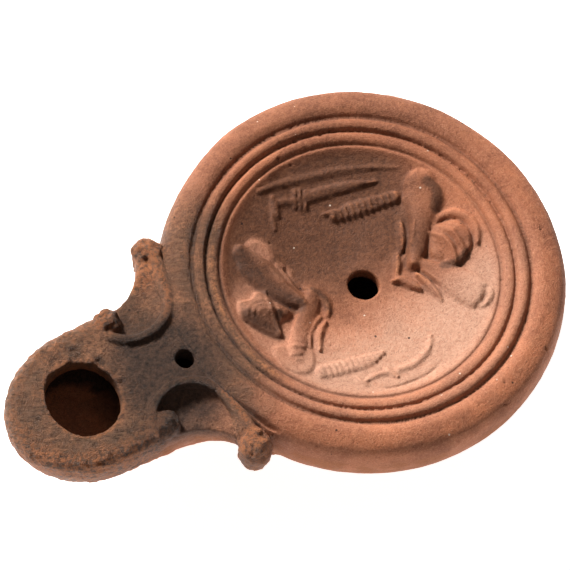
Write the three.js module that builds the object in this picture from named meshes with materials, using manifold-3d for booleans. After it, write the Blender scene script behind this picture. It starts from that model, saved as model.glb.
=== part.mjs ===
// A Roman mould-made oil lamp of fired clay: a round oil chamber with a sunk, relief-carved discus,
// and a round-ended nozzle flanked by two volutes. It is one hollow piece, fired whole.
// Millimetres, +Z up. The origin is the centre of the flat base, below the centre of the discus,
// and +X points to the nozzle.
import * as THREE from 'three';
import { mergeVertices } from 'three/addons/utils/BufferGeometryUtils.js';
import Module from 'manifold-3d';

const wasm = await Module();
wasm.setup();

// Body
const height = 27; // from the base to the crest of the shoulder
const shoulderRadius = 37.4; // to the outer edge of the shoulder
const shoulderDrop = 1; // how far that edge lies below the crest
const bulge = 1; // how far the wall swells past the shoulder's edge
const bulgeDrop = 5.5; // how far below the crest the wall is widest
const wallShift = 0.5; // the wall's middle lies this far behind the rings' middle
const baseRadius = 20;
const baseLineInset = 2; // the turned line inside the base's edge
const baseLineDepth = 0.5;
const wall = 3;

// Shoulder, ring mouldings and discus
const shoulderWidth = 5.5; // from the outer edge to the first groove
const ringPitch = 2.8; // from one groove to the next
const ringCount = 2;
const ringStep = 0.5; // each ring stands this much lower than the one outside it
const grooveDepth = 0.9;
const discusDepth = 6.3; // from the crest to the middle of the discus
const fillingHoleRadius = 3;
const fillingHoleOffset = new THREE.Vector2(-0.6, 1.1); // it was punched by hand, off centre

// Nozzle
const wickReach = 21.05; // from the shoulder's edge to the middle of the wick hole
const nozzleHalfWidth = 12.8;
const nozzleEndReach = 16; // the half oval of its end is this long
const nozzleEndOffset = 1.95; // that oval's middle lies this far short of the wick hole's
const nozzleRootDepth = 19; // from its top face to its keel, at the shoulder's edge
const nozzleEndDepth = 13; // and at its tip
const nozzleSide = 1.1; // it bends to +Y, by this much at its tip
const nozzleSwell = 0.9; // how far its wall swells below the top edge
const keelCurve = 2.8; // how squarely the end rounds under to the keel: 2 is an ellipse
const sideCurve = 4; // and how squarely the sides do
const neckReach = 9; // from the shoulder's edge to the middle of the hollow curve beside the nozzle
const neckBack = 3; // that middle lies this much further back at the keel
const earReach = 3.8; // the volutes' outer corners stand this far out past the shoulder's edge
const earTurn = 0.2; // and round by this angle, under the shoulder's knobs
const earTuck = 0.95; // they have run back into the wall at this share of the nozzle's depth
const wickHole = new THREE.Vector2(6.75, 7.5); // its half sizes along and across the nozzle
const wickSide = 0.3; // its middle lies this far to +Y of the lamp's axis
const airHoleRadius = 1.75;
const airHoleGap = 0.8; // from the shoulder's edge to the air hole's middle
const airHoleSide = 1.6;

// Volutes
const voluteRadius = 7.7; // of the ridge
const voluteReach = 5.1; // from the shoulder's edge to the ridge's middle
const voluteSide = 13.2; // from the nozzle's axis to the ridge's middle
const ridgeWidth = 1.8;
const ridgeHeight = 0.7;
const leftRidgeStart = -0.1; // the angle from the nozzle's direction at which each ridge starts
const rightRidgeStart = 0.35;
const scoopDepth = 2.4;
// Each volute ends in a knob on the nozzle and one on the body. Their places are measured past the
// shoulder's edge and off the axis, and the left side is +Y.
const leftShoulderKnob = { out: -2.6, across: 22.4, radius: 3.2 };
const rightShoulderKnob = { out: -3.6, across: 21.2, radius: 2.8 };
const shoulderKnobDrop = 7; // how far a knob's stem runs down the wall
const leftTipKnob = { out: 9.9, across: 11.2, radius: 2.7 };
const rightTipKnob = { out: 9.9, across: 11.2, radius: 2.6 };

// How finely the round forms are faceted
const turns = 52;
const innerTurns = 32;

const nozzleTop = height - shoulderDrop;
const wickX = shoulderRadius + wickReach;
const nozzleEndX = wickX - nozzleEndOffset;
const nozzleTip = nozzleEndX + nozzleEndReach;
const firstGroove = shoulderRadius - shoulderWidth;
const discusRadius = firstGroove - ringCount * ringPitch;
const discusEdgeDrop = grooveDepth + ringCount * ringStep * 0.6;

// Solids

function solid(geometry) {
  const plain = geometry.clone();
  plain.deleteAttribute('normal');
  plain.deleteAttribute('uv');
  const merged = mergeVertices(plain, 1e-4);
  return new wasm.Manifold(new wasm.Mesh({
    numProp: 3,
    vertProperties: new Float32Array(merged.attributes.position.array),
    triVerts: new Uint32Array(merged.index.array),
  }));
}

function geometryOf(manifold) {
  const mesh = manifold.getMesh();
  const geometry = new THREE.BufferGeometry();
  geometry.setAttribute('position', new THREE.BufferAttribute(mesh.vertProperties, 3));
  geometry.setIndex(new THREE.BufferAttribute(mesh.triVerts, 1));
  geometry.computeVertexNormals();
  return geometry;
}

// A solid of revolution about +Z, from (radius, z) points that run up the outside and end on the axis.
// Its outer part is shifted back, away from the nozzle.
function turned(profile, segments) {
  const points = profile.map(([r, z]) => new THREE.Vector2(r, z));
  const geometry = new THREE.LatheGeometry(points, segments).rotateX(Math.PI / 2);
  const position = geometry.attributes.position;
  for (let i = 0; i < position.count; i++) {
    const radius = Math.hypot(position.getX(i), position.getY(i));
    const share = THREE.MathUtils.smoothstep(radius, discusRadius, shoulderRadius);
    position.setX(i, position.getX(i) - wallShift * share);
  }
  return solid(geometry);
}

// A closed solid through rings of points, all with as many points and all turning the same way.
// The end rings are closed flat.
function loft(rings) {
  const count = rings[0].length;
  const positions = rings.flat().flatMap((p) => [p.x, p.y, p.z]);
  const index = [];
  for (let i = 0; i + 1 < rings.length; i++) {
    for (let j = 0; j < count; j++) {
      const a = i * count + j;
      const b = i * count + ((j + 1) % count);
      index.push(a, b, a + count, b, b + count, a + count);
    }
  }
  const last = (rings.length - 1) * count;
  for (const [a, b, c] of capFaces(rings[0])) index.push(a, c, b);
  for (const [a, b, c] of capFaces(rings[rings.length - 1])) index.push(last + a, last + b, last + c);
  const geometry = new THREE.BufferGeometry();
  geometry.setAttribute('position', new THREE.Float32BufferAttribute(positions, 3));
  geometry.setIndex(index);
  const made = solid(geometry);
  return made.volume() < 0 ? solid(flipped(geometry)) : made;
}

function flipped(geometry) {
  const index = Array.from(geometry.index.array);
  for (let i = 0; i < index.length; i += 3) [index[i], index[i + 1]] = [index[i + 1], index[i]];
  const turnedOver = geometry.clone();
  turnedOver.setIndex(index);
  return turnedOver;
}

// The triangles of a flat ring, turning as the ring does.
function capFaces(ring) {
  const [a, b, c] = [ring[0], ring[Math.floor(ring.length / 3)], ring[Math.floor((2 * ring.length) / 3)]];
  const normal = b.clone().sub(a).cross(c.clone().sub(a)).normalize();
  const across = b.clone().sub(a).normalize();
  const up = normal.clone().cross(across);
  const flat = ring.map((p) => new THREE.Vector2(p.clone().sub(a).dot(across), p.clone().sub(a).dot(up)));
  const faces = THREE.ShapeUtils.triangulateShape(flat, []);
  const turn = Math.sign(THREE.ShapeUtils.area(flat));
  return faces.map(([i, j, k]) => {
    const side = Math.sign(THREE.ShapeUtils.area([flat[i], flat[j], flat[k]]));
    return side === turn ? [i, j, k] : [i, k, j];
  });
}

function ball(radius, centre, segments) {
  const geometry = new THREE.SphereGeometry(radius, segments, Math.ceil(segments / 2) + 1);
  return solid(geometry.rotateX(Math.PI / 2).translate(centre.x, centre.y, centre.z));
}

function hole(halfX, halfY, x, y, bottom, top, segments) {
  const geometry = new THREE.CylinderGeometry(1, 1, top - bottom, segments);
  geometry.rotateX(Math.PI / 2).scale(halfX, halfY, 1).translate(x, y, (bottom + top) / 2);
  return solid(geometry);
}

// Profiles

function bowlWall() {
  const widest = shoulderRadius + bulge;
  const widestZ = height - bulgeDrop;
  const curve = new THREE.CubicBezierCurve(
    new THREE.Vector2(baseRadius, 0),
    new THREE.Vector2(baseRadius + (widest - baseRadius) * 0.55, widestZ * 0.26),
    new THREE.Vector2(widest, widestZ * 0.6),
    new THREE.Vector2(widest, widestZ),
  );
  return curve.getPoints(7);
}

// The body's radius at a height on its wall.
function wallRadiusAt(z) {
  const curve = bowlWall();
  const next = curve.findIndex((p) => p.y >= z);
  if (next < 0) return shoulderRadius + bulge;
  if (next === 0) return baseRadius;
  return THREE.MathUtils.mapLinear(z, curve[next - 1].y, curve[next].y, curve[next - 1].x, curve[next].x);
}

// Drop of the upper face below the crest, at a radius inside the shoulder's edge.
function discusDrop(radius) {
  const share = Math.min(1, radius / discusRadius);
  return discusDepth - (discusDepth - discusEdgeDrop) * share * share;
}

function ringProfile() {
  const points = [];
  for (let k = 0; k < ringCount; k++) {
    const groove = firstGroove - k * ringPitch;
    const crest = height - 0.15 - k * ringStep;
    const bottom = height - grooveDepth - k * ringStep * 0.6;
    points.push([groove, bottom]);
    points.push([groove - ringPitch * 0.35, crest]);
    points.push([groove - ringPitch * 0.68, crest - 0.1]);
  }
  points.push([discusRadius, height - discusEdgeDrop]);
  return points;
}

function bodyProfile() {
  const line = baseRadius - baseLineInset;
  const base = [[0, 0], [line - baseLineDepth, 0], [line, baseLineDepth], [line + baseLineDepth, 0]];
  const bowl = bowlWall().map((p) => [p.x, p.y]);
  const edge = [
    [shoulderRadius + bulge * 0.8, height - bulgeDrop * 0.55],
    [shoulderRadius, nozzleTop],
    [shoulderRadius - shoulderWidth * 0.25, height - shoulderDrop * 0.3],
    [shoulderRadius - shoulderWidth * 0.7, height],
    [shoulderRadius - shoulderWidth * 0.88, height - grooveDepth * 0.3],
  ];
  const discus = [0.88, 0.7, 0.5, 0.28, 0].map((share) => {
    const radius = share * discusRadius;
    return [radius, height - discusDrop(radius)];
  });
  return [...base, ...bowl, ...edge, ...ringProfile(), ...discus];
}

function chamberProfile() {
  const curve = bowlWall();
  const inner = curve.map((p, i) => {
    const before = curve[Math.max(0, i - 1)];
    const after = curve[Math.min(curve.length - 1, i + 1)];
    const along = after.clone().sub(before).normalize();
    return [p.x - along.y * wall, p.y + along.x * wall];
  });
  const floor = inner.filter(([, z]) => z > wall * 1.05);
  const roof = [
    [shoulderRadius - wall, height - shoulderDrop - wall * 1.1],
    [firstGroove, height - grooveDepth - wall],
  ];
  const under = [1, 0.75, 0.5, 0.25, 0].map((share) => {
    const radius = share * discusRadius;
    return [radius, height - discusDrop(radius) - wall];
  });
  return [[0, wall], [baseRadius - wall * 0.6, wall], ...floor, ...roof, ...under];
}

// Nozzle

// How much of its width a rounded section keeps at a share of its height.
function roundedWidth(share, power) {
  return Math.pow(1 - Math.pow(Math.abs(share), power), 1 / power);
}

// Depth from the nozzle's top face to its keel.
function nozzleDepthAt(x) {
  return THREE.MathUtils.mapLinear(x, shoulderRadius, nozzleTip, nozzleRootDepth, nozzleEndDepth);
}

// An outline of the nozzle in plan at a share of its depth, inset from its sides and its end. Hollow curves lead
// it into the body's wall, and it closes on an arc inside the body.
function nozzleOutline(share, inset, endInset, innerRadius) {
  const endSteps = 12;
  const neckSteps = 5;
  const arcSteps = 4;
  const tuck = THREE.MathUtils.smoothstep(share, 0, earTuck);
  const neckX = shoulderRadius + neckReach - neckBack * share;
  const inWall = wallRadiusAt(nozzleTop - nozzleRootDepth * share) - wall / 2;
  const halfWidth = nozzleHalfWidth - inset;
  const nearest = THREE.MathUtils.lerp(shoulderRadius + earReach, inWall, tuck) - Math.min(inset, wall);
  const bend = (neckX ** 2 + halfWidth ** 2 - nearest ** 2) / (2 * (nearest - halfWidth));
  const neck = new THREE.Vector2(neckX, halfWidth + bend);
  const first = Math.PI + neck.angle() - earTurn * (1 - tuck);
  const side = [];
  for (let i = 0; i <= neckSteps; i++) {
    const angle = THREE.MathUtils.lerp(first, Math.PI * 1.5, i / neckSteps);
    side.push(new THREE.Vector2(neck.x + bend * Math.cos(angle), neck.y + bend * Math.sin(angle)));
  }
  const reach = nozzleEndReach * roundedWidth(share, keelCurve) - endInset;
  const end = [];
  for (let i = 0; i <= endSteps; i++) {
    const angle = THREE.MathUtils.lerp(Math.PI / 2, -Math.PI / 2, i / endSteps);
    end.push(new THREE.Vector2(nozzleEndX + reach * Math.cos(angle), halfWidth * Math.sin(angle)));
  }
  const otherSide = side.map((p) => new THREE.Vector2(p.x, -p.y)).reverse();
  const half = side[0].angle();
  const arc = [];
  for (let i = 0; i <= arcSteps; i++) {
    const angle = THREE.MathUtils.lerp(-half, half, i / arcSteps);
    arc.push(new THREE.Vector2(innerRadius * Math.cos(angle), innerRadius * Math.sin(angle)));
  }
  return [...side, ...end, ...otherSide, ...arc].map((p) => {
    const share = Math.max(0, (p.x - shoulderRadius) / (nozzleTip - shoulderRadius));
    return new THREE.Vector2(p.x, p.y + nozzleSide * share * share);
  });
}

function nozzleBlock() {
  const keelWall = wallRadiusAt(nozzleTop - nozzleRootDepth);
  const shares = [0, 0.05, 0.25, 0.48, 0.68, 0.84, 0.94, 0.99];
  return loft(shares.map((share) => {
    const narrowing = nozzleHalfWidth * (1 - roundedWidth(share, sideCurve));
    const swell = nozzleSwell * (share ? Math.sin(Math.PI * Math.sqrt(share)) : -1);
    const innerRadius = THREE.MathUtils.lerp(firstGroove - wall / 3, keelWall - 2 * wall, share);
    return nozzleOutline(share, narrowing - swell, -swell, innerRadius)
      .map((p) => new THREE.Vector3(p.x, p.y, nozzleTop - nozzleDepthAt(p.x) * share));
  }));
}

// The hollow that joins the chamber to the wick hole, a tunnel rounded in section.
function nozzleHollow() {
  const keelWall = wallRadiusAt(nozzleTop - nozzleRootDepth);
  return loft([-0.93, -0.7, -0.3, 0.2, 0.6, 0.85].map((height) => {
    const down = (1 - height) / 2; // share of the hollow's own depth below its roof
    const inset = wall + (nozzleHalfWidth - wall) * (1 - roundedWidth(height, 2.6));
    const innerRadius = THREE.MathUtils.lerp(firstGroove, keelWall - 3 * wall, down);
    return nozzleOutline(down, inset, wall, innerRadius)
      .map((p) => new THREE.Vector3(p.x, p.y, nozzleTop - wall - (nozzleDepthAt(p.x) - 2 * wall) * down));
  }).reverse());
}

// Raised work

// A raised stroke over a surface: it follows a spine in plan, with a width, a height and a round back.
function stroke(spine, halfWidth, rise, surface, stations = 6, across = 4) {
  const curve = new THREE.SplineCurve(spine);
  const foot = 1; // how far it is rooted in the surface
  const rings = [];
  for (let i = 0; i <= stations; i++) {
    const t = i / stations;
    const centre = curve.getPoint(t);
    const along = curve.getTangent(t);
    const half = halfWidth(t);
    const at = (share) => new THREE.Vector2(centre.x - along.y * half * share, centre.y + along.x * half * share);
    const ring = [];
    for (let j = 0; j <= across; j++) {
      const share = (2 * j) / across - 1;
      const p = at(share);
      const back = Math.pow(1 - share * share, 0.6);
      ring.push(new THREE.Vector3(p.x, p.y, surface(p) + rise(t) * back - 0.12 * (1 - back)));
    }
    for (const share of [0.9, -0.9]) {
      const p = at(share);
      ring.push(new THREE.Vector3(p.x, p.y, surface(p) - foot));
    }
    rings.push(ring);
  }
  return loft(rings);
}

// A width that runs from one value to another and rounds off over a share of the length at each end.
function tapered(first, second, roundFirst = 0.2, roundSecond = 0.2) {
  return (t) => {
    const width = THREE.MathUtils.lerp(first, second, t);
    const near = roundFirst && t < roundFirst ? 1 - t / roundFirst : 0;
    const far = roundSecond && t > 1 - roundSecond ? 1 - (1 - t) / roundSecond : 0;
    const end = Math.max(near, far);
    return width * Math.sqrt(Math.max(0.06, 1 - end * end));
  };
}

// Discus relief: gladiators' arms. One carving unit is a twenty-sixth of the discus's radius.
const unit = discusRadius / 26;
const discusSurface = (p) => height - discusDrop(p.length());
const points = (list) => list.map(([x, y]) => new THREE.Vector2(x * unit, y * unit));

function mark(list, halfWidth, rise, stations = 4, across = 4) {
  const width = typeof halfWidth === 'function' ? halfWidth : tapered(halfWidth, halfWidth);
  const scaled = (t) => width(t) * unit;
  return stroke(points(list), scaled, (t) => rise * unit * Math.min(1, 0.45 + 4 * t * (1 - t)), discusSurface, stations, across);
}

// A greave: a half-round shin plate from the knee to the ankle, with narrow lacing leaves beside it.
function greave(spine, kneeWidth, ankleWidth, rise, leaves, endRound = 0.12) {
  const width = (t) => tapered(kneeWidth, kneeWidth, 0.3, 0)(t) * (1 - THREE.MathUtils.smoothstep(t, 0.25, 0.65))
    + tapered(ankleWidth, ankleWidth, 0, endRound)(t) * THREE.MathUtils.smoothstep(t, 0.25, 0.65);
  return [mark(spine, width, rise, 8, 6), ...leaves.map((leaf) => mark(leaf, tapered(0.5, 0.5, 0.5, 0.5), 0.55, 3, 2))];
}

// A sleeve guard: a band crossed by ribs.
function sleeve(from, to, firstWidth, secondWidth, ribs) {
  const steps = 2 * ribs;
  const width = (t) => THREE.MathUtils.lerp(firstWidth, secondWidth, t) * unit;
  const rise = (t) => unit * (Math.round(t * steps) % 2 ? 0.95 : 0.35);
  return stroke(points([from, to]), width, rise, discusSurface, steps, 2);
}

// A short sword: pommel and guard as cross bars, a grip between them, and a blade.
function sword(pommel, grip, guard, blade, bladeWidth) {
  return [
    mark(pommel, 0.55, 0.6, 1, 2),
    mark(grip, 0.5, 0.5, 1, 2),
    mark(guard, 0.5, 0.75, 1, 2),
    mark(blade, tapered(bladeWidth, bladeWidth * 0.4, 0.1, 0.4), 0.55, 5, 2),
  ];
}

// A visored helmet: bowl, brim, visor or neck guard, and the lines of its crest.
function helmet(bowl, bowlWidth, plates, lines) {
  return [
    mark(bowl, tapered(bowlWidth, bowlWidth, 0.45, 0.45), 1.5, 6, 6),
    ...plates.map((plate) => mark(plate, tapered(2, 0.6, 0.2, 0.3), 0.95, 3, 4)),
    ...lines.map((line) => mark(line, 0.4, 1.1, 4, 2)),
  ];
}

function discusRelief() {
  return [
    ...greave([[16.4, -13.1], [15.7, -10.1], [14.4, -6.5], [12.3, -0.3]], 3.4, 1.7, 1.35,
      [[[12.3, -8.5], [11.8, -4.4], [11.1, -1.2]], [[11.2, -8], [10.7, -5.2], [10.5, -2.2]]]),
    ...greave([[9.1, -1], [11.5, 1.5], [14.6, 4.6], [18.6, 9.5]], 2, 1.85, 1.3,
      [[[10.1, 3.6], [12.1, 4.8], [15.4, 8.8]], [[9.8, 5], [11.8, 6.2], [14.1, 10]], [[9.7, -2.9], [7.4, 0.8], [8.8, 4]]]),
    ...greave([[-19.2, -11.1], [-18.4, -8.5], [-16.2, -5], [-10.9, 1.8]], 3.9, 1.7, 1.4,
      [[[-12.8, -6.5], [-11.7, -4], [-10.2, -1.6]], [[-14.6, -5.1], [-12, -1.8], [-8.3, 1]], [[-9.2, -1.4], [-8.2, 0.4], [-6.8, 2.4]]]),
    ...greave([[-17.3, 13.7], [-16, 10.1], [-14.2, 6.1], [-12.1, 2.7]], 3.1, 1.6, 1.1,
      [[[-10.1, 3.9], [-11.2, 8], [-11.4, 10.9]], [[-11.4, 3.6], [-12.2, 5.5], [-12.8, 7.9]]]),
    mark([[-5.7, 3.1], [-7.8, 4.1], [-9.2, 7]], 0.9, 1),
    mark([[19.6, 8.8], [18.4, 13.6]], tapered(2.4, 3, 0.1, 0.5), 0.4, 5, 4),
    sleeve([16, 14.4], [3.9, 15.5], 1.5, 1, 11),
    sleeve([-2.2, -13], [-14, -11.4], 1.3, 1.2, 11),
    ...sword([[11.1, 18.3], [10.3, 20.6]], [[8.5, 19.3], [4.9, 19.8]], [[5.1, 18.8], [4.4, 21.4]],
      [[3.4, 20.1], [0.2, 20.3], [-3.6, 18.9], [-5.7, 16.4]], 0.8),
    ...sword([[7.1, -20.1], [7.8, -16.6]], [[6.5, -20.6], [2.4, -19]], [[1.9, -20.6], [1.8, -16.5]],
      [[0.2, -18.8], [-4, -17.9], [-12.5, -15.5]], 1.05),
    ...helmet([[21.2, -4.2], [19.8, 4.6]], 3.4,
      [[[18.8, -1.4], [14.6, 0.8]], [[22.4, -2], [25, -3.8]]],
      [[[20.6, -0.6], [19.6, 4.6]], [[22.6, -0.6], [21.2, -2.6], [19, -1.8]]]),
    ...helmet([[-18, -2.6], [-19.6, 5.8]], 4.1,
      [],
      [[[-16.6, -1.4], [-18.5, 2], [-18.2, 6.2]], [[-19.6, 1.4], [-20.8, 4.8]], [[-18, -2.6], [-20.6, -3.4], [-23.5, -0.9], [-23, 4.2]]]),
    mark([[9.6, -22.8], [0, -22.2], [-10, -20]], 0.45, 0.4, 5, 2),
    mark([[8.6, 22], [0, 23.6], [-10, 21.4]], 0.4, 0.35, 5, 2),
    mark([[9.2, -17.6], [9.9, -15.4]], 0.6, 0.5, 2, 2),
  ];
}

// Volutes

function voluteScoop(side) {
  const geometry = new THREE.SphereGeometry(1, 20, 10).rotateX(Math.PI / 2);
  const radius = voluteRadius - ridgeWidth / 2;
  geometry.scale(radius, radius, scoopDepth);
  return solid(geometry.translate(shoulderRadius + voluteReach, side * voluteSide, nozzleTop));
}

function voluteRidge(side, knob, start) {
  const middle = new THREE.Vector2(shoulderRadius + voluteReach, side * voluteSide);
  const spine = [];
  for (let i = 0; i <= 6; i++) {
    const angle = THREE.MathUtils.lerp(start, 2.9, i / 6);
    spine.push(new THREE.Vector2(
      middle.x + voluteRadius * Math.cos(angle),
      middle.y - side * voluteRadius * Math.sin(angle),
    ));
  }
  spine.push(new THREE.Vector2(shoulderRadius + knob.out, side * (knob.across - ridgeWidth)));
  const width = tapered(ridgeWidth / 2, ridgeWidth / 2, 0.1, 0.1);
  return stroke(spine, width, () => ridgeHeight, () => nozzleTop, 14, 4);
}

// A round-headed knob where the volute's ridge ends on the body, its stem run down the wall.
function shoulderKnob(side, { out, across, radius }) {
  const x = shoulderRadius + out;
  const y = side * across;
  const top = nozzleTop - radius * 0.6;
  const steps = 4;
  const corners = 10;
  const stem = [];
  for (let i = 0; i <= steps; i++) {
    const t = i / steps;
    const ring = [];
    for (let j = 0; j < corners; j++) {
      const angle = (j / corners) * 2 * Math.PI;
      const reach = radius * Math.sqrt(1 - 0.9 * t * t);
      const inward = 0.8 * t * t; // the stem follows the wall in
      ring.push(new THREE.Vector3(
        (x + reach * Math.cos(angle)) * (1 - inward / shoulderRadius),
        (y + reach * Math.sin(angle)) * (1 - inward / shoulderRadius),
        top - shoulderKnobDrop * t,
      ));
    }
    stem.push(ring);
  }
  return ball(radius, new THREE.Vector3(x, y, top), corners).add(loft(stem));
}

function tipKnob(side, { out, across, radius }) {
  const centre = new THREE.Vector3(shoulderRadius + out, side * across, nozzleTop - radius * 0.6);
  return ball(radius, centre, 10);
}

// The lamp

function lamp() {
  const union = (parts) => wasm.Manifold.union(parts);
  const clay = turned(bodyProfile(), turns).add(nozzleBlock()).subtract(union([voluteScoop(1), voluteScoop(-1)]));
  const raised = union([
    voluteRidge(1, leftShoulderKnob, leftRidgeStart),
    voluteRidge(-1, rightShoulderKnob, rightRidgeStart),
    shoulderKnob(1, leftShoulderKnob),
    shoulderKnob(-1, rightShoulderKnob),
    tipKnob(1, leftTipKnob),
    tipKnob(-1, rightTipKnob),
    ...discusRelief(),
  ]);
  const above = height + ridgeHeight;
  const inNozzle = nozzleTop - nozzleEndDepth / 2;
  const hollow = union([
    turned(chamberProfile(), innerTurns),
    nozzleHollow(),
    hole(fillingHoleRadius, fillingHoleRadius, fillingHoleOffset.x, fillingHoleOffset.y, height / 2, above, 24),
    hole(wickHole.x, wickHole.y, wickX, wickSide, inNozzle, above, 32),
    hole(airHoleRadius, airHoleRadius, shoulderRadius + airHoleGap, airHoleSide, inNozzle, above, 12),
  ]);
  return clay.add(raised).subtract(hollow);
}

const clayMaterial = new THREE.MeshStandardMaterial({ color: 0xa0654a, roughness: 0.85, metalness: 0 });
const group = new THREE.Group();
const body = new THREE.Mesh(geometryOf(lamp()), clayMaterial);
body.name = 'lamp';
group.add(body);

export default group;
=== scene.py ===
"""A Roman mould-made oil lamp on a pale floor. The lamp's clay is one fine mesh over the CAD solid: its
outer faces are drawn onto fields built from the lamp's sizes, and the discus relief is raised on them.
Lengths in the shape code are millimetres; Blender's are metres."""

import bmesh
import bpy
import numpy as np
from mathutils import Matrix, Vector


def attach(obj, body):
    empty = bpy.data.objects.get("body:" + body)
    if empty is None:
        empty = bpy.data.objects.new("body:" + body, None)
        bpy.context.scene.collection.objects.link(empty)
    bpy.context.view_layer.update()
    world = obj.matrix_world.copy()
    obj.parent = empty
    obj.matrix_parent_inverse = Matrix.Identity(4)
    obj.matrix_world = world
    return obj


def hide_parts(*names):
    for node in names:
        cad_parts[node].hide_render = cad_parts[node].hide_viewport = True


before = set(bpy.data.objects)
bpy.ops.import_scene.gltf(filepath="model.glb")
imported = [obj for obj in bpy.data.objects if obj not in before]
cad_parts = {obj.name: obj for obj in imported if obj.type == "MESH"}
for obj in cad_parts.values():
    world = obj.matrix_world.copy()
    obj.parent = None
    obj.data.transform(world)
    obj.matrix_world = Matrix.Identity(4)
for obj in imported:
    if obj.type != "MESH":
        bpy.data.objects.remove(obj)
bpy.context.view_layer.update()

MM = 0.001

# Body, as in the CAD solid
HEIGHT = 27.0
SHOULDER_RADIUS = 37.4
BULGE = 1.0
BULGE_DROP = 5.5
WALL_SHIFT = 0.5
RINGS_SHIFT = 0.15  # the rings lie this far to -Y
BASE_RADIUS = 20.0
BASE_LINE_RADIUS = 18.0
WALL = 3.0
DISCUS_RADIUS = 26.3
DISCUS_DEPTH = 6.3
DISCUS_EDGE_DROP = 1.5
FILLING_HOLE = (-0.6, 1.1, 3.0)  # x, y, radius

# Nozzle
NOZZLE_TOP = 26.0
HALF_WIDTH = 12.8
END_X = 56.5
END_REACH = 16.0
TIP = END_X + END_REACH
ROOT_DEPTH = 19.0
END_DEPTH = 13.0
NOZZLE_SIDE = 1.1
SWELL = 0.9
SIDE_CURVE = 4.0
KEEL_CURVE = 2.8
NECK_REACH = 9.0
NECK_BACK = 3.0
EAR_REACH = 3.8
EAR_TUCK = 0.95
NOZZLE_BLEND = 0.8
NOZZLE_EDGE = 2.0
KEEL_EDGE = 1.5
WICK_HOLE = (58.45, 0.3, 6.75, 7.5)  # x, y, half sizes
# Where the wick hole's edge is chipped: x, y, z, radius
WICK_CHIPS = ((51.4, 0.9, 26.8, 1.5), (55.4, -7.3, 27.7, 2.6), (59.4, -7.9, 28.0, 2.7),
              (52.4, -4.3, 27.2, 1.9))
AIR_HOLE = (38.2, 1.6, 1.75)
WICK_EDGE = 0.8
HOLE_EDGE = 0.5

# Volutes
VOLUTE_CENTRE = (42.5, 13.2)
VOLUTE_RADIUS = 7.7
SCOOP_DEPTH = 2.4
RIDGE_WIDTH = 1.8
RIDGE_HEIGHT = 0.95
SCOOP_EDGE = 0.6
RIDGE_FOOT = 0.7
SHOULDER_KNOB_FOOT = 1.0
TIP_KNOB_FOOT = 0.5
KNOB_DROP = 7.0
SHOULDER_KNOBS = ((34.8, 22.4, 3.2), (33.8, -21.2, 2.8))  # x, y, radius
TIP_KNOBS = ((47.3, 11.2, 2.7), (47.3, -11.2, 2.6))
KNOB_WEAR = (1.0, 1.0, 0.45, 1.0)  # how broken each knob's face is, shoulder knobs first
RIDGE_STARTS = (-0.1, 0.35)  # angles, for +Y and -Y

# Looks
RING_GROOVES = (31.7, 28.95, 26.35)  # radii where dirt and painted shade lie
RING_CRESTS = (30.2, 27.8)  # radii that are worn
SCOOP_RUB = (37.2, -18.6, 4.0)  # worn to the clay: x, y, radius
DUSTY_PATCHES = ((20.5, -2.5, 8.0), (19.5, 7.0, 8.5), (14.8, -12.6, 4.0), (12.8, -7.0, 3.0))  # x, y, reach
# Where the figures are painted darker, thick dark slip and painted shade on their shaded sides: points of a
# line, and its half width
DARK_SLIP_AND_SHADE = (
    (((18.7, -12.4), (18.2, -9.2), (17.2, -5.8), (15.2, -2.2), (13.4, 0.0)), 2.0),
    (((23.6, -1.0), (21.8, 2.0), (19.8, 4.2)), 1.5),
    (((17.4, 0.4), (18.6, 1.4), (19.2, 3.4)), 0.9),
    (((8.6, -1.9), (7.7, 0.6), (8.2, 3.2)), 0.8),
    (((-20.6, -10.6), (-21.4, -8.4), (-19.6, -5.6)), 1.3),
    (((-15.2, 5.2), (-17.6, 6.2), (-20.0, 5.2)), 1.0),
)
WIPE_ANGLE = -0.51  # the fine streaks of wiping and wear run at this angle to the lamp's axis
SLIP_GLOSS = 0.32
BUMP_REACH = 0.00045  # metres
FLOOR_SIZE = 4  # metres
FLOOR_GLOW = 0.88
# The key light stands at the picture's upper left: its share to the right, up and back, then its metres
KEY_FROM = (-0.5, 0.86, 0.28)
KEY_DISTANCE = 2.0
KEY_SIZE = 0.45
KEY_POWER = 92
KEY_TINT = (1.0, 0.97, 0.93)
KEY_AIM = (0.015, 0, 0.015)
SKY_TINT = (1, 0.93, 0.85, 1)
SKY = 0.2

# Mesh
COARSE = 0.62  # grain of the mesh before its upper face is split
FIT_ROUNDS = 3
EVEN_ROUNDS = 2
TRIANGLES = 188000  # the finished lamp has this many
RELIEF_WEAR = 2  # rounds of smoothing


# Numbers on arrays of points

def smoothstep(low, high, v):
    t = np.clip((v - low) / (high - low), 0, 1)
    return t * t * (3 - 2 * t)


def smooth_max(a, b, k):
    h = np.maximum(k - np.abs(a - b), 0) / k
    return np.maximum(a, b) + h * h * k * 0.25


def smooth_min(a, b, k):
    return -smooth_max(-a, -b, k)


def lattice(i, j, k, seed):
    n = i * 374761393 + j * 668265263 + k * 1440662683 + seed * 1013904223
    n = (n ^ (n >> 13)) * 1274126177
    n = n ^ (n >> 16)
    return (n & 0xFFFF) / 32767.5 - 1


def noise(p, scale, seed):
    """Smooth noise from -1 to 1 at points p, with lumps about scale across."""
    q = p / scale
    cell = np.floor(q).astype(np.int64)
    f = q - cell
    f = f * f * (3 - 2 * f)
    i, j, k = cell.T
    total = 0.0
    for a in (0, 1):
        for b in (0, 1):
            for c in (0, 1):
                share = (
                    (f[:, 0] if a else 1 - f[:, 0])
                    * (f[:, 1] if b else 1 - f[:, 1])
                    * (f[:, 2] if c else 1 - f[:, 2])
                )
                total = total + share * lattice(i + a, j + b, k + c, seed)
    return total


def rough(p, scale, seed, octaves=3):
    return sum(noise(p, scale / 2**n, seed + n) / 2**n for n in range(octaves))


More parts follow.
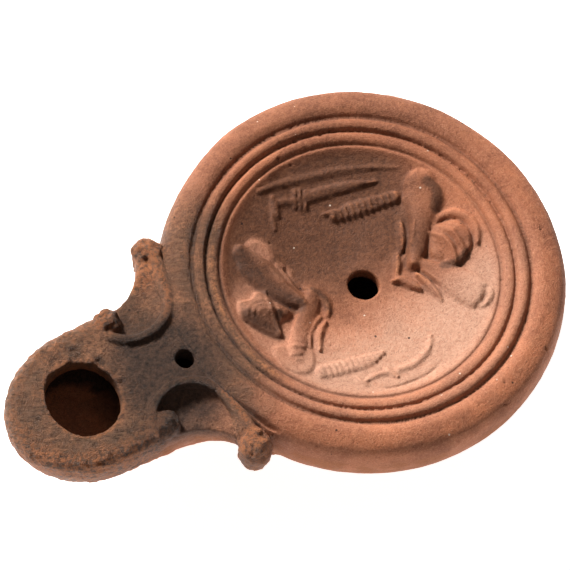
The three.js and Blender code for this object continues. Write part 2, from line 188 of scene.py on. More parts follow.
def spline(points, steps=8):
    """A smooth curve through the points, as an array with steps pieces between each two."""
    p = np.array(points, float)
    p = np.vstack([2 * p[0] - p[1], p, 2 * p[-1] - p[-2]])
    out = []
    for a, b, c, d in zip(p, p[1:], p[2:], p[3:]):
        bend, twist = 2 * a - 5 * b + 4 * c - d, 3 * b - a - 3 * c + d
        for t in np.arange(steps) / steps:
            out.append(0.5 * (2 * b + (c - a) * t + bend * t**2 + twist * t**3))
    return np.array(out + [p[-2]])


def along(p, line):
    """Nearest point of a line to each p: distance, share of the length passed, and side (1 is left)."""
    starts, ends = line[:-1], line[1:]
    spans = ends - starts
    lengths = np.sqrt((spans**2).sum(1)) + 1e-9
    passed = np.concatenate([[0], np.cumsum(lengths)])
    best = np.full(len(p), 1e9)
    share = np.zeros(len(p))
    side = np.ones(len(p))
    for a, s, n, before in zip(starts, spans, lengths, passed):
        t = np.clip(((p - a) @ s) / n**2, 0, 1)
        q = p - a - t[:, None] * s
        d = np.sqrt((q**2).sum(1))
        closer = d < best
        best = np.where(closer, d, best)
        share = np.where(closer, (before + t * n) / passed[-1], share)
        if p.shape[1] == 2:
            turn = s[0] * q[:, 1] - s[1] * q[:, 0]
            side = np.where(closer, np.where(turn >= 0, 1.0, -1.0), side)
    return best, share, side


# The lamp's outer form as a field: below 0 inside the clay, 0 on its face

def bowl_wall():
    widest = SHOULDER_RADIUS + BULGE
    z = HEIGHT - BULGE_DROP
    low = (BASE_RADIUS + (widest - BASE_RADIUS) * 0.55, z * 0.26)
    p = np.array([(BASE_RADIUS, 0), low, (widest, z * 0.6), (widest, z)])
    t = np.linspace(0, 1, 40)[:, None]
    return p[0] * (1 - t) ** 3 + 3 * p[1] * t * (1 - t) ** 2 + 3 * p[2] * t**2 * (1 - t) + p[3] * t**3


def discus_z(r):
    share = np.minimum(1, r / DISCUS_RADIUS)
    return HEIGHT - DISCUS_DEPTH + (DISCUS_DEPTH - DISCUS_EDGE_DROP) * share**2


# Radius and height of the shoulder and ring mouldings, from the wall in to the discus
UPPER_PROFILE = ((38.4, 21.5), (38.35, 22.9), (38.15, 24.2), (37.75, 25.2), (37.1, 26.0), (36.2, 26.5),
                 (35.0, 26.85), (33.9, 26.98), (33.0, 26.8), (32.4, 26.5), (32.0, 26.1), (31.75, 25.9),
                 (31.5, 26.1), (31.15, 26.6), (30.7, 26.86), (30.2, 26.88), (29.6, 26.66), (29.2, 26.15),
                 (28.98, 25.72), (28.78, 25.9), (28.5, 26.24), (28.2, 26.36), (27.8, 26.38), (27.2, 26.22),
                 (26.7, 25.85), (26.42, 25.46), (26.22, 25.48), (25.95, 25.6), (25.6, 25.54), (25.2, 25.3),
                 (24.6, 24.95), (24.0, 24.7), )


def body_outline():
    line = BASE_LINE_RADIUS
    base = [(0, 0), (line - 0.6, 0), (line - 0.15, 0.45), (line + 0.15, 0.45), (line + 0.6, 0),
            (BASE_RADIUS - 0.6, 0)]
    discus = [(r, discus_z(r)) for r in np.linspace(23, 0, 24)]
    return np.vstack([base, bowl_wall()[1:-1], spline(UPPER_PROFILE, 5), discus])


class BodyField:
    """Signed distance to the turned outline, kept on a fine grid of radius and height."""

    step = 0.1
    low = np.array([-1.0, -3.0])
    high = np.array([44.0, 31.0])

    def __init__(self):
        n = ((self.high - self.low) / self.step).astype(int) + 1
        r, z = np.meshgrid(*(self.low[i] + self.step * np.arange(n[i]) for i in (0, 1)), indexing="ij")
        p = np.c_[np.abs(r).ravel(), z.ravel()]
        outline = body_outline()
        distance = along(p, outline)[0]
        loop = np.vstack([outline, outline[:1]])
        inside = np.zeros(len(p), bool)
        for (r0, z0), (r1, z1) in zip(loop, loop[1:]):
            if z0 == z1:
                continue
            crosses = (z0 > p[:, 1]) != (z1 > p[:, 1])
            inside ^= crosses & (p[:, 0] < (r1 - r0) * (p[:, 1] - z0) / (z1 - z0) + r0)
        self.grid = np.where(inside, -distance, distance).reshape(n)

    def __call__(self, r, z):
        q = (np.c_[r, z] - self.low) / self.step
        q = np.clip(q, 0, np.array(self.grid.shape) - 1.001)
        i = q.astype(int)
        f = q - i
        g = self.grid
        a, b = i.T
        return (g[a, b] * (1 - f[:, 0]) + g[a + 1, b] * f[:, 0]) * (1 - f[:, 1]) + (
            g[a, b + 1] * (1 - f[:, 0]) + g[a + 1, b + 1] * f[:, 0]
        ) * f[:, 1]


body_field = BodyField()
wall_points = bowl_wall()


def wall_radius(z):
    return np.interp(z, wall_points[:, 1], wall_points[:, 0])


def turned_radius(p):
    """Distance from the rings' middle, with the wall shifted back and pressed a little out of round."""
    plain = np.hypot(p[:, 0], p[:, 1])
    outer = smoothstep(DISCUS_RADIUS, SHOULDER_RADIUS, plain)
    r = np.hypot(p[:, 0] + WALL_SHIFT * outer, p[:, 1] + RINGS_SHIFT * (1 - outer))
    angle = np.arctan2(p[:, 1], p[:, 0])
    pressed = 0.75 * np.exp(-(((angle + 1.0) / 0.42) ** 2))  # flattened by the nozzle's right side
    eased = -0.25 * np.exp(-(((angle + 2.1) / 0.5) ** 2))
    return r + outer * (pressed + eased)


def nozzle_field(p):
    x, y, z = p.T
    depth = ROOT_DEPTH + (END_DEPTH - ROOT_DEPTH) * (x - SHOULDER_RADIUS) / (TIP - SHOULDER_RADIUS)
    t = np.clip((NOZZLE_TOP - z) / depth, 0, 0.995)
    lean = NOZZLE_SIDE * np.maximum(0, (x - SHOULDER_RADIUS) / (TIP - SHOULDER_RADIUS)) ** 2
    across = np.abs(y - lean)
    swell = SWELL * np.sin(np.pi * np.sqrt(t))
    inset = HALF_WIDTH * (1 - (1 - t**SIDE_CURVE) ** (1 / SIDE_CURVE)) - swell
    half = HALF_WIDTH - inset
    tuck = smoothstep(0, EAR_TUCK, t)
    in_wall = wall_radius(NOZZLE_TOP - ROOT_DEPTH * t) - WALL / 2
    nearest = (SHOULDER_RADIUS + EAR_REACH) * (1 - tuck) + in_wall * tuck - np.minimum(inset, WALL)
    neck_x = SHOULDER_RADIUS + NECK_REACH - NECK_BACK * t
    bend = (neck_x**2 + half**2 - nearest**2) / (2 * (nearest - half))
    in_neck = bend - np.hypot(x - neck_x, across - half - bend)
    reach = END_REACH * (1 - t**KEEL_CURVE) ** (1 / KEEL_CURVE) + swell
    in_end = (np.hypot((x - END_X) / reach, across / half) - 1) * np.minimum(reach, half)
    side = np.where(x < neck_x, in_neck, np.where(x > END_X, in_end, across - half))
    turn = np.arctan2(half + bend, neck_x)
    side = smooth_max(side, across * np.cos(turn) - x * np.sin(turn) - 1.2, 0.8)
    field = smooth_max(side, z - NOZZLE_TOP, NOZZLE_EDGE)
    field = smooth_max(field, NOZZLE_TOP - 0.99 * depth - z, KEEL_EDGE)
    inner = 32.6 - 9 * np.sqrt(t)
    return np.maximum(field, inner - np.hypot(x, y))


def ridge_line(side):
    start = RIDGE_STARTS[0 if side > 0 else 1]
    angles = np.linspace(start, 2.9, 22)
    arc = np.c_[
        VOLUTE_CENTRE[0] + VOLUTE_RADIUS * np.cos(angles),
        side * (VOLUTE_CENTRE[1] - VOLUTE_RADIUS * np.sin(angles)),
    ]
    x, y, radius = SHOULDER_KNOBS[0 if side > 0 else 1]
    end = np.array([[x - 0.6, y - side * radius * 0.6]])
    return spline(np.vstack([arc[::3], end]), 4)


def ridge_field(p, side):
    distance, share, _ = along(p[:, :2], ridge_line(side))
    ends = np.sqrt(np.clip(1 - np.maximum((0.12 - share) / 0.12, 0) ** 2, 0.05, 1))
    radius = RIDGE_WIDTH / 2 * ends * (1 + 0.25 * smoothstep(0.55, 0.95, share))
    middle = NOZZLE_TOP + RIDGE_HEIGHT - RIDGE_WIDTH / 2
    return np.hypot(distance, p[:, 2] - middle) - radius


def scoop_field(p, side):
    deep = 0.95 * SCOOP_DEPTH
    x = (p[:, 0] - VOLUTE_CENTRE[0]) / (VOLUTE_RADIUS - 0.7)
    y = (p[:, 1] - side * VOLUTE_CENTRE[1]) / (VOLUTE_RADIUS - 0.7)
    z = (p[:, 2] - NOZZLE_TOP) / deep
    return (np.sqrt(x**2 + y**2 + z**2) - 1) * deep


def shoulder_knob_field(p, knob):
    x, y, radius = knob
    top = NOZZLE_TOP - radius * 0.6
    t = np.clip((top - p[:, 2]) / KNOB_DROP, 0, 1)
    draw = 1 - 0.8 * t**2 / SHOULDER_RADIUS
    reach = radius * np.sqrt(1 - 0.9 * t**2)
    flat = np.hypot(p[:, 0] - x * draw, p[:, 1] - y * draw)
    above = np.maximum(p[:, 2] - top, 0)
    return np.hypot(flat, above) - reach


def ball_field(p, centre, radius):
    return np.sqrt(((p - np.array(centre)) ** 2).sum(1)) - radius


def clay_field(p):
    """The lamp without its holes."""
    field = smooth_min(body_field(turned_radius(p), p[:, 2]), nozzle_field(p), NOZZLE_BLEND)
    near = p[:, 0] > 26
    q = p[near]
    part = field[near]
    for side in (1, -1):
        part = smooth_max(part, -scoop_field(q, side), SCOOP_EDGE)
    for side, shoulder_knob, (x, y, radius) in zip((1, -1), SHOULDER_KNOBS, TIP_KNOBS):
        part = smooth_min(part, ridge_field(q, side), RIDGE_FOOT)
        part = smooth_min(part, shoulder_knob_field(q, shoulder_knob), SHOULDER_KNOB_FOOT)
        part = smooth_min(part, ball_field(q, (x, y, NOZZLE_TOP - radius * 0.55), radius), TIP_KNOB_FOOT)
    field[near] = part
    return field


def from_wick(p):
    """Distance in plan from the middle of the wick hole, 1 at its edge."""
    x, y, half_x, half_y = WICK_HOLE
    return np.hypot((p[:, 0] - x) / half_x, (p[:, 1] - y) / half_y)


def lamp_field(p):
    """The lamp with its holes and the chips at the wick hole."""
    field = clay_field(p)
    wick = (from_wick(p) - 1) * WICK_HOLE[2]
    field = smooth_max(field, -wick, WICK_EDGE)
    for chip in WICK_CHIPS:
        field = smooth_max(field, -ball_field(p, chip[:3], chip[3]), HOLE_EDGE)
    for x, y, radius in (AIR_HOLE, FILLING_HOLE):
        field = smooth_max(field, radius - np.hypot(p[:, 0] - x, p[:, 1] - y), HOLE_EDGE)
    return field


def gradient(field, p, step=0.06):
    out = np.zeros_like(p)
    for axis in range(3):
        shift = np.zeros(3)
        shift[axis] = step
        out[:, axis] = (field(p + shift) - field(p - shift)) / (2 * step)
    return out


def draw_onto(p, field, strength, rounds=FIT_ROUNDS):
    """Moves points onto the field's face, at most 0.8 mm a round."""
    for _ in range(rounds):
        value = field(p)
        slope = gradient(field, p)
        move = -value[:, None] * slope / np.maximum((slope**2).sum(1), 0.05)[:, None]
        length = np.sqrt((move**2).sum(1))
        move *= np.minimum(1, 0.8 / np.maximum(length, 1e-6))[:, None]
        p = p + move * strength[:, None]
    return p


# The discus relief, as heights over the discus at points in plan

class Relief:
    def __init__(self, plan):
        self.plan = plan
        self.height = np.zeros(len(plan))

    def near(self, line, reach):
        low, high = line.min(0) - reach, line.max(0) + reach
        return np.where(((self.plan > low) & (self.plan < high)).all(1))[0]

    def band(self, points, widths, height, power=0.5, lean=0.0, raised=False, sharp=False):
        """A raised band along a curve. widths are half widths at even stations; power 0.5 is round, less is
        flatter; lean moves its crest to the left; raised adds it to what is there; sharp creases its crest
        and its foot."""
        line = spline(points)
        widths = np.array(widths, float)
        at = self.near(line, widths.max() + 0.5)
        distance, share, side = along(self.plan[at], line)
        half = np.interp(share, np.linspace(0, 1, len(widths)), widths)
        crest = half * lean
        offset = distance * side - crest
        room = np.where(offset > 0, half - crest, half + crest)
        u = np.clip(np.abs(offset) / np.maximum(room, 0.05), 0, 1)
        rise = height * ((1 - 0.45 * u) * (1 - u**6) ** 0.5 if sharp else (1 - u**2) ** power)
        self.raise_to(at, rise, raised)

    def plate(self, outline, height, edge, dome=0.0, fall=None):
        """A raised plate inside an outline, its edge rounded over a distance. Its dome sinks from the
        first y of fall to the second."""
        loop = spline(list(outline) + [outline[0]], 6)
        at = self.near(loop, 0.5)
        p = self.plan[at]
        distance = along(p, loop)[0]
        inside = np.zeros(len(p), bool)
        for (x0, y0), (x1, y1) in zip(loop, loop[1:]):
            if y0 == y1:
                continue
            crosses = (y0 > p[:, 1]) != (y1 > p[:, 1])
            inside ^= crosses & (p[:, 0] < (x1 - x0) * (p[:, 1] - y0) / (y1 - y0) + x0)
        rise = np.where(inside, height * smoothstep(-0.15, edge, distance) ** 0.7, 0)
        if dome:
            swell = dome * np.minimum(distance / 3, 1) ** 0.8
            if fall:
                swell = swell * (1 - 0.8 * smoothstep(fall[0], fall[1], p[:, 1]))
            rise = rise + np.where(inside, swell, 0)
        self.raise_to(at, rise)

    def raise_to(self, at, rise, raised=False):
        old = self.height[at]
        if raised:
            self.height[at] = old + rise
        else:
            self.height[at] = smooth_max(old, rise, 0.12) * (rise > 0) + old * (rise <= 0)

    def cut(self, points, width, depth):
        """A groove that runs out at both ends."""
        line = spline(points)
        at = self.near(line, 2 * width)
        distance, share, _ = along(self.plan[at], line)
        ends = smoothstep(0, 0.12, share) * smoothstep(1, 0.88, share)
        self.height[at] -= depth * ends * np.exp(-((distance / width) ** 2))

    def sleeve(self, points, widths, height, ribs):
        """A raised band with even ribs across it."""
        line = spline(points)
        widths = np.array(widths, float)
        at = self.near(line, widths.max() + 0.5)
        distance, share, _ = along(self.plan[at], line)
        half = np.interp(share, np.linspace(0, 1, len(widths)), widths)
        u = np.clip(distance / np.maximum(half, 0.05), 0, 1)
        body = (1 - u**4) ** 0.6
        wave = 0.5 + 0.5 * np.cos(2 * np.pi * ribs * share)
        self.raise_to(at, height * body * (0.35 + 0.65 * wave))


def discus_relief(plan):
    relief = Relief(plan)
    left_greaves(relief)
    left_helmet(relief)
    right_greaves(relief)
    right_helmet(relief)
    sleeve_guards(relief)
    daggers(relief)
    return relief.height


def left_greaves(relief):
    """The first runs from a round knee plate to the ankle, the second ends in a plate."""
    relief.plate([(18.0, -13.7), (16.4, -14.8), (14.1, -14.8), (12.6, -13.2), (11.5, -10.3), (10.7, -7.0),
                  (10.0, -4.0), (10.5, -1.6), (11.9, -0.2), (14.2, -0.2), (16.2, -3.3), (18.7, -6.5),
                  (20.0, -9.6), (19.5, -12.0)], 0.5, 0.5)
    relief.band([(17.9, -13.6), (17.3, -11.6), (16.6, -9.4), (15.3, -5.4), (13.6, -2.2), (12.3, 0.0)],
                [1.4, 2.2, 3.0, 3.0, 2.5, 1.9, 1.2], 1.6, lean=0.6, sharp=True)
    relief.band([(12.7, -9.0), (11.9, -4.6), (11.1, -1.0)], [0.2, 0.4, 0.2], 0.5, raised=True)
    relief.cut([(11.7, -8.3), (11.3, -5.4), (10.9, -2.0)], 0.42, 0.75)
    relief.cut([(10.7, -6.5), (10.4, -4.4), (10.5, -2.1)], 0.3, 0.55)
    relief.cut([(15.2, -5.4), (14.0, -2.8), (13.2, -0.8)], 0.18, 0.12)
    relief.cut([(14.2, -5.0), (13.2, -2.8), (12.5, -1.0)], 0.18, 0.12)
    relief.plate([(22.6, 6.4), (23.1, 9.0), (22.6, 11.4), (21.0, 13.2), (19.1, 13.8), (17.2, 12.9),
                  (15.6, 10.2), (17.0, 8.0), (20.2, 6.4)], 0.45, 0.35)
    relief.band([(9.2, -1.0), (11.6, 1.5), (14.8, 4.7), (17.4, 7.4), (18.8, 9.6)],
                [1.6, 1.9, 1.95, 1.9, 1.9, 1.7], 1.1, 0.6, -0.25)
    relief.band([(19.4, 7.7), (17.9, 8.0), (16.8, 8.6)], [0.35, 0.35], 0.35, raised=True)
    relief.cut([(20.1, 9.6), (18.9, 10.1), (17.6, 10.1)], 0.28, 0.45)
    relief.band([(9.8, -2.9), (8.2, -1.5), (7.5, 0.8), (7.8, 2.6), (8.9, 4.0)], [0.5, 0.95, 1.1, 0.8, 0.4],
                0.8, 0.9, -0.7)
    relief.band([(10.2, 3.6), (12.2, 4.8), (14.3, 6.6), (15.6, 8.9)], [0.2, 0.5, 0.5, 0.2], 0.75)
    relief.band([(9.9, 5.0), (11.5, 5.9), (13.1, 7.5), (14.3, 10.1)], [0.3, 0.8, 0.8, 0.3], 0.75, 0.5, 0.5)


def left_helmet(relief):
    """A bowl with arcs, a crest ridge from top to bottom and a visor."""
    relief.plate([(24.4, -3.4), (23.4, -4.6), (21.1, -4.4), (19.4, -5.4), (18.0, -4.9), (16.9, -3.0),
                  (15.9, -1.2), (14.9, 1.1), (16.6, 1.7), (18.0, 2.2), (19.5, 4.9), (21.4, 3.6),
                  (23.2, 1.4), (24.4, -0.6), (24.8, -2.2)], 0.4, 0.4, dome=1.5, fall=(-1.0, 4.8))
    relief.band([(17.7, -4.6), (18.4, -2.3), (18.9, 0.6), (19.4, 4.5)], [0.3, 0.5, 0.5, 0.3], 0.5, 0.8, 0.3,
                raised=True)
    relief.cut([(17.0, -2.9), (17.6, -0.8), (18.4, 1.6)], 0.4, 0.4)
    for radius in (1.0, 2.0, 3.0):
        turns = np.linspace(3.2, 6.0, 8)
        arc = np.c_[20.4 + 1.1 * radius * np.cos(turns), -0.2 + radius * np.sin(turns)]
        relief.band(arc, [0.2, 0.36, 0.36, 0.2], 0.36, raised=True)
    relief.band([(17.2, -2.6), (16.4, -0.8), (15.3, 0.9)], [0.3, 0.4, 0.2], 0.35, raised=True)
    relief.band([(18.0, -1.6), (17.2, 0.2), (16.4, 1.3)], [0.2, 0.35, 0.2], 0.3, raised=True)


def right_greaves(relief):
    """The greaves, their lacing leaves and the bar below them."""
    relief.plate([(-10.8, 2.0), (-11.0, -1.2), (-12.9, -3.4), (-14.2, -5.4), (-14.1, -8.3), (-14.9, -10.1),
                  (-16.4, -11.8), (-18.6, -12.9), (-21.2, -12.0), (-22.6, -9.9), (-22.6, -7.6),
                  (-21.5, -5.6), (-18.6, -3.9), (-16.2, -1.2), (-13.2, 1.6)], 0.4, 0.6)
    relief.band([(-19.4, -11.2), (-18.6, -8.6), (-16.4, -5.0), (-13.8, -1.6), (-11.0, 1.8)],
                [3.0, 4.0, 3.1, 2.3, 2.0, 1.9, 1.4], 1.65, 0.6, -0.2)
    relief.band([(-12.9, -6.6), (-11.9, -4.0), (-10.3, -1.6)], [0.3, 1.0, 0.4], 0.9, 0.7)
    relief.cut([(-13.4, -6.8), (-12.6, -4.0), (-11.0, -1.6), (-9.9, -0.8)], 0.25, 0.35)
    relief.band([(-14.8, -5.2), (-13.2, -2.9), (-10.4, -0.3), (-8.4, 1.0)], [0.2, 0.35, 0.3, 0.2], 0.4,
                raised=True)
    relief.band([(-9.3, -1.4), (-8.3, 0.4), (-6.9, 2.4)], [0.3, 0.75, 0.35], 0.8)
    relief.band([(-5.8, 3.1), (-7.2, 3.6), (-8.2, 4.9), (-9.3, 7.1)], [0.45, 0.95, 1.0, 0.4], 1.1, 0.45)
    relief.band([(-10.2, 3.9), (-11.0, 6.6), (-11.4, 9.4), (-11.5, 11.0)], [0.3, 0.75, 0.65, 0.2], 1.15,
                0.5)
    relief.band([(-11.5, 3.6), (-12.3, 5.6), (-13.0, 8.0)], [0.25, 0.5, 0.2], 1.0)
    relief.band([(-12.2, 2.7), (-14.4, 6.2), (-16.2, 10.2), (-17.5, 13.8)], [1.2, 1.9, 2.7, 3.2, 2.9], 1.1,
                0.45)
    relief.cut([(-19.9, 12.8), (-18.0, 15.0), (-15.2, 16.2)], 0.55, 0.55)
    relief.cut([(-19.2, 14.2), (-17.0, 15.9)], 0.3, 0.4)


def right_helmet(relief):
    """An outer crest, the bowl and the visor's ridges."""
    relief.band([(-17.6, -3.0), (-19.6, -3.7), (-22.2, -3.0), (-23.8, -0.7), (-23.8, 2.2), (-22.8, 4.5)],
                [0.5, 0.9, 1.0, 1.0, 0.9, 0.4], 0.8, 0.4)
    relief.plate([(-17.3, -3.0), (-15.5, -0.6), (-14.2, 2.2), (-15.2, 4.6), (-16.5, 6.2), (-18.4, 6.4),
                  (-20.2, 5.4), (-21.8, 4.3), (-23.0, 2.3), (-22.9, -0.1), (-21.7, -2.0), (-19.7, -2.8)],
                 0.7, 0.5, dome=1.1)
    relief.cut([(-18.2, -2.6), (-20.6, -2.4), (-22.4, -0.6), (-22.8, 2.0), (-22.2, 3.8)], 0.28, 0.4)
    relief.band([(-16.4, -1.8), (-17.7, 0.8), (-18.0, 3.4), (-17.4, 6.0)], [0.3, 0.45, 0.45, 0.3], 0.5,
                raised=True)
    relief.band([(-18.4, -1.8), (-19.6, 0.4), (-19.9, 2.8), (-19.8, 5.2)], [0.25, 0.4, 0.4, 0.25], 0.45,
                raised=True)
    relief.band([(-20.2, -1.4), (-21.3, 0.6), (-21.4, 3.0)], [0.2, 0.35, 0.25], 0.35, raised=True)
    relief.cut([(-18.3, -0.6), (-18.9, 1.6), (-18.8, 4.6)], 0.35, 0.5)
    relief.cut([(-20.3, 0.2), (-20.7, 2.2), (-20.7, 4.4)], 0.3, 0.4)
    relief.cut([(-16.2, 0.2), (-16.5, 2.6), (-16.0, 4.8)], 0.4, 0.45)


def sleeve_guards(relief):
    relief.sleeve([(-2.2, -13.2), (-6.0, -12.9), (-10.4, -12.2), (-14.2, -11.5)], [0.9, 1.5, 1.5, 1.3, 1.2],
                  0.85, 10)
    relief.band([(-0.6, -14.6), (-2.8, -13.8)], [0.25, 0.9], 0.7)
    relief.sleeve([(16.2, 14.6), (11.0, 15.4), (7.0, 15.8), (3.9, 15.6)], [1.5, 1.6, 1.6, 1.4, 0.5], 0.7,
                  11)


def daggers(relief):
    # The dagger above, its guard of three bars, and the long curve over it
    relief.band([(6.9, -21.2), (7.3, -19.6), (7.7, -17.6)], [0.5, 0.8, 0.5], 0.5)
    relief.band([(8.4, -18.6), (8.9, -17.0), (9.5, -15.4)], [0.3, 0.5, 0.3], 0.35)
    relief.band([(6.6, -19.9), (4.6, -19.3), (3.0, -19.0)], [0.7, 0.8, 0.7], 0.4)
    for step in (-1.0, 0.0, 1.0):
        x, y = 2.1 - 0.87 * step, -18.9 + 0.49 * step
        relief.band([(x - 0.75, y - 1.5), (x, y), (x + 0.8, y + 1.7)], [0.3, 0.42, 0.3], 0.55)
    relief.band([(0.6, -18.6), (-4.0, -18.0), (-8.4, -17.0), (-12.6, -15.7)], [1.2, 1.15, 0.9, 0.2], 0.5,
                0.5)
    relief.band([(8.9, -23.0), (5.2, -22.9), (1.1, -22.3), (-2.9, -21.5), (-6.5, -20.8), (-12.2, -18.8),
                 (-17.5, -16.0)], [0.5, 0.9, 0.9, 0.6, 0.2], 0.32, 0.8)
    # The curved dagger below, and the two worn curves round it
    relief.band([(11.2, 18.5), (10.9, 19.6), (10.4, 20.8)], [0.3, 0.5, 0.3], 0.5)
    relief.band([(10.4, 19.9), (9.2, 19.6)], [0.35, 0.3], 0.55)
    relief.band([(8.6, 19.5), (6.8, 19.6), (5.0, 20.0)], [0.45, 0.55, 0.5], 0.55)
    relief.band([(5.2, 19.0), (4.9, 20.3), (4.4, 21.6)], [0.3, 0.6, 0.35], 0.65)
    relief.band([(3.4, 20.3), (0.2, 20.5), (-3.6, 19.1), (-5.8, 16.6)], [0.7, 0.8, 0.65, 0.2], 0.55, 0.7)
    relief.cut([(8.8, 22.1), (6.5, 23.3), (3.0, 23.8), (-0.8, 23.8), (-5.0, 22.7)], 0.25, 0.42)
    relief.cut([(20.2, 17.6), (18.6, 19.4), (16.2, 21.2)], 0.22, 0.35)


# The fine mesh

def fine_mesh(node):
    """A copy of the node's solid in an even grain, finer on its upper face and finest on the rings."""
    source = bpy.data.objects.new("grain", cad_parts[node].data.copy())
    bpy.context.scene.collection.objects.link(source)
    remesh = source.modifiers.new("grain", "REMESH")
    remesh.mode = "VOXEL"
    remesh.voxel_size = COARSE * MM
    mesh = applied(source)
    for chosen in (upper_faces, ring_faces):
        bm = bmesh.new()
        bm.from_mesh(mesh)
        centres = np.array([f.calc_center_median() for f in bm.faces]) / MM
        normals = np.array([f.normal for f in bm.faces])
        edges = {e for f, wanted in zip(bm.faces, chosen(centres, normals)) if wanted for e in f.edges}
        bmesh.ops.subdivide_edges(bm, edges=list(edges), cuts=1, use_grid_fill=True)
        bm.to_mesh(mesh)
        bm.free()
    return mesh


def applied(source):
    """The object's mesh with its modifiers, and the object gone."""
    mesh = bpy.data.meshes.new_from_object(source.evaluated_get(bpy.context.evaluated_depsgraph_get()))
    bpy.data.objects.remove(source)
    return mesh


def upper_faces(centres, normals):
    outside = clay_field(centres) > -1.3
    return outside & (centres[:, 2] > 18) & ((normals[:, 2] > 0.3) | (centres[:, 2] > 23))


def ring_faces(centres, normals):
    r = np.hypot(centres[:, 0], centres[:, 1])
    return upper_faces(centres, normals) & (r > 25.2) & (r < 32.8) & (centres[:, 2] > 24)


def thinned(mesh):
    """The mesh with fewer triangles, taken out where its face is plain."""
    source = bpy.data.objects.new("thin", mesh)
    bpy.context.scene.collection.objects.link(source)
    decimate = source.modifiers.new("thin", "DECIMATE")
    decimate.ratio = TRIANGLES / sum(len(f.vertices) - 2 for f in mesh.polygons)
    return applied(source)


def points_of(mesh):
    co = np.zeros(len(mesh.vertices) * 3, np.float32)
    mesh.vertices.foreach_get("co", co)
    return co.reshape(-1, 3).astype(float) / MM


def set_points(mesh, p):
    mesh.vertices.foreach_set("co", (p * MM).astype(np.float32).ravel())
    mesh.update()


def normals_of(mesh):
    mesh.update()
    out = np.zeros(len(mesh.vertices) * 3, np.float32)
    mesh.vertex_normals.foreach_get("vector", out)
    return out.reshape(-1, 3).astype(float)


def edges_of(mesh):
    out = np.zeros(len(mesh.edges) * 2, np.int32)
    mesh.edges.foreach_get("vertices", out)
    return out.reshape(-1, 2)


def spread(values, edges, rounds):
    """Averages values over neighbours."""
    count = np.bincount(edges.ravel(), minlength=len(values)).astype(float)
    for _ in range(rounds):
        if values.ndim == 1:
            total = np.bincount(edges[:, 0], values[edges[:, 1]], len(values))
            total += np.bincount(edges[:, 1], values[edges[:, 0]], len(values))
            values = (values + total / np.maximum(count, 1)) / 2
        else:
            values = np.stack([spread(v, edges, 1) for v in values.T], 1)
    return values


def clay_roughness(p, on_top):
    """Height of the clay's unevenness along its normal."""
    plain = 0.10 * rough(p, 9.0, 3) + 0.03 * rough(p, 1.7, 11)
    grit = 0.03 * noise(p, 0.7, 23)
    knobs = np.zeros(len(p))
    for (x, y, radius), wear in zip(SHOULDER_KNOBS + TIP_KNOBS, KNOB_WEAR):
        near = smoothstep(1.25, 0.8, np.hypot(p[:, 0] - x, p[:, 1] - y) / radius)
        knobs = np.maximum(knobs, near * wear)
    broken = 0.45 * rough(p, 1.6, 41) * knobs
    pits = -0.35 * smoothstep(0.72, 0.9, noise(p, 0.9, 57)) * smoothstep(0.1, 0.6, noise(p, 7.0, 59))
    sooty = smoothstep(30, 48, p[:, 0])
    for side in (1, -1):
        off = along(p[:, :2], ridge_line(side))[0]
        sooty = sooty * (1 - 0.8 * smoothstep(1.8, 1.0, off) * (p[:, 2] > 24))
    return plain + grit * (1 + sooty) + broken + pits * on_top + 0.16 * rough(p, 0.9, 71) * sooty


def shoulder_line(p):
    """The line cut round the shoulder where the nozzle joins it, stronger on the left."""
    r = np.hypot(p[:, 0], p[:, 1])
    angle = np.degrees(np.arctan2(p[:, 1], p[:, 0]))
    radius = 36.5 + 0.5 * smoothstep(25, 36, angle)
    depth = 0.6 * smoothstep(-9, -4, angle) * smoothstep(38, 32, angle)
    depth = depth + 0.4 * smoothstep(11, 16, angle) * smoothstep(38, 34, angle)
    return -depth * np.exp(-(((r - radius) / 0.35) ** 2))


def build_lamp():
    mesh = fine_mesh("lamp")
    p = points_of(mesh)
    edges = edges_of(mesh)
    depth = -clay_field(p)
    outer = 1 - smoothstep(1.5, 2.6, depth)
    p = draw_onto(p, lamp_field, outer)
    for _ in range(EVEN_ROUNDS):
        p = p + 0.7 * outer[:, None] * (spread(p, edges, 1) - p)
        p = draw_onto(p, lamp_field, outer, 1)
    in_discus = (np.hypot(p[:, 0], p[:, 1]) < DISCUS_RADIUS - 0.5) & (outer > 0.5) & (p[:, 2] > 18)
    holes = np.hypot(p[:, 0] - FILLING_HOLE[0], p[:, 1] - FILLING_HOLE[1]) < FILLING_HOLE[2] + 0.1
    at = np.where(in_discus & ~holes)[0]
    raised = np.zeros(len(p))
    raised[at] = discus_relief(p[at, :2])
    raised = spread(raised, edges, RELIEF_WEAR)
    p[:, 2] += raised
    on_top = outer * smoothstep(18, 21, p[:, 2])
    p[:, 2] += shoulder_line(p) * on_top * smoothstep(24.5, 25.5, p[:, 2])
    set_points(mesh, p)
    p = p + normals_of(mesh) * (clay_roughness(p, on_top) * outer)[:, None]
    p[:, 2] = np.maximum(p[:, 2], 0)
    r = np.hypot(p[:, 0], p[:, 1])
    flat = (p[:, 2] < 0.35) & (r < BASE_RADIUS - 0.5) & (depth < 1) & (np.abs(r - BASE_LINE_RADIUS) > 0.9)
    p[flat, 2] = 0
    set_points(mesh, p)
    paint_masks(mesh, p, raised, outer)
    mesh = thinned(mesh)
    mesh.polygons.foreach_set("use_smooth", np.ones(len(mesh.polygons), bool))
    lamp = bpy.data.objects.new("lamp_clay", mesh)
    bpy.context.scene.collection.objects.link(lamp)
    return lamp


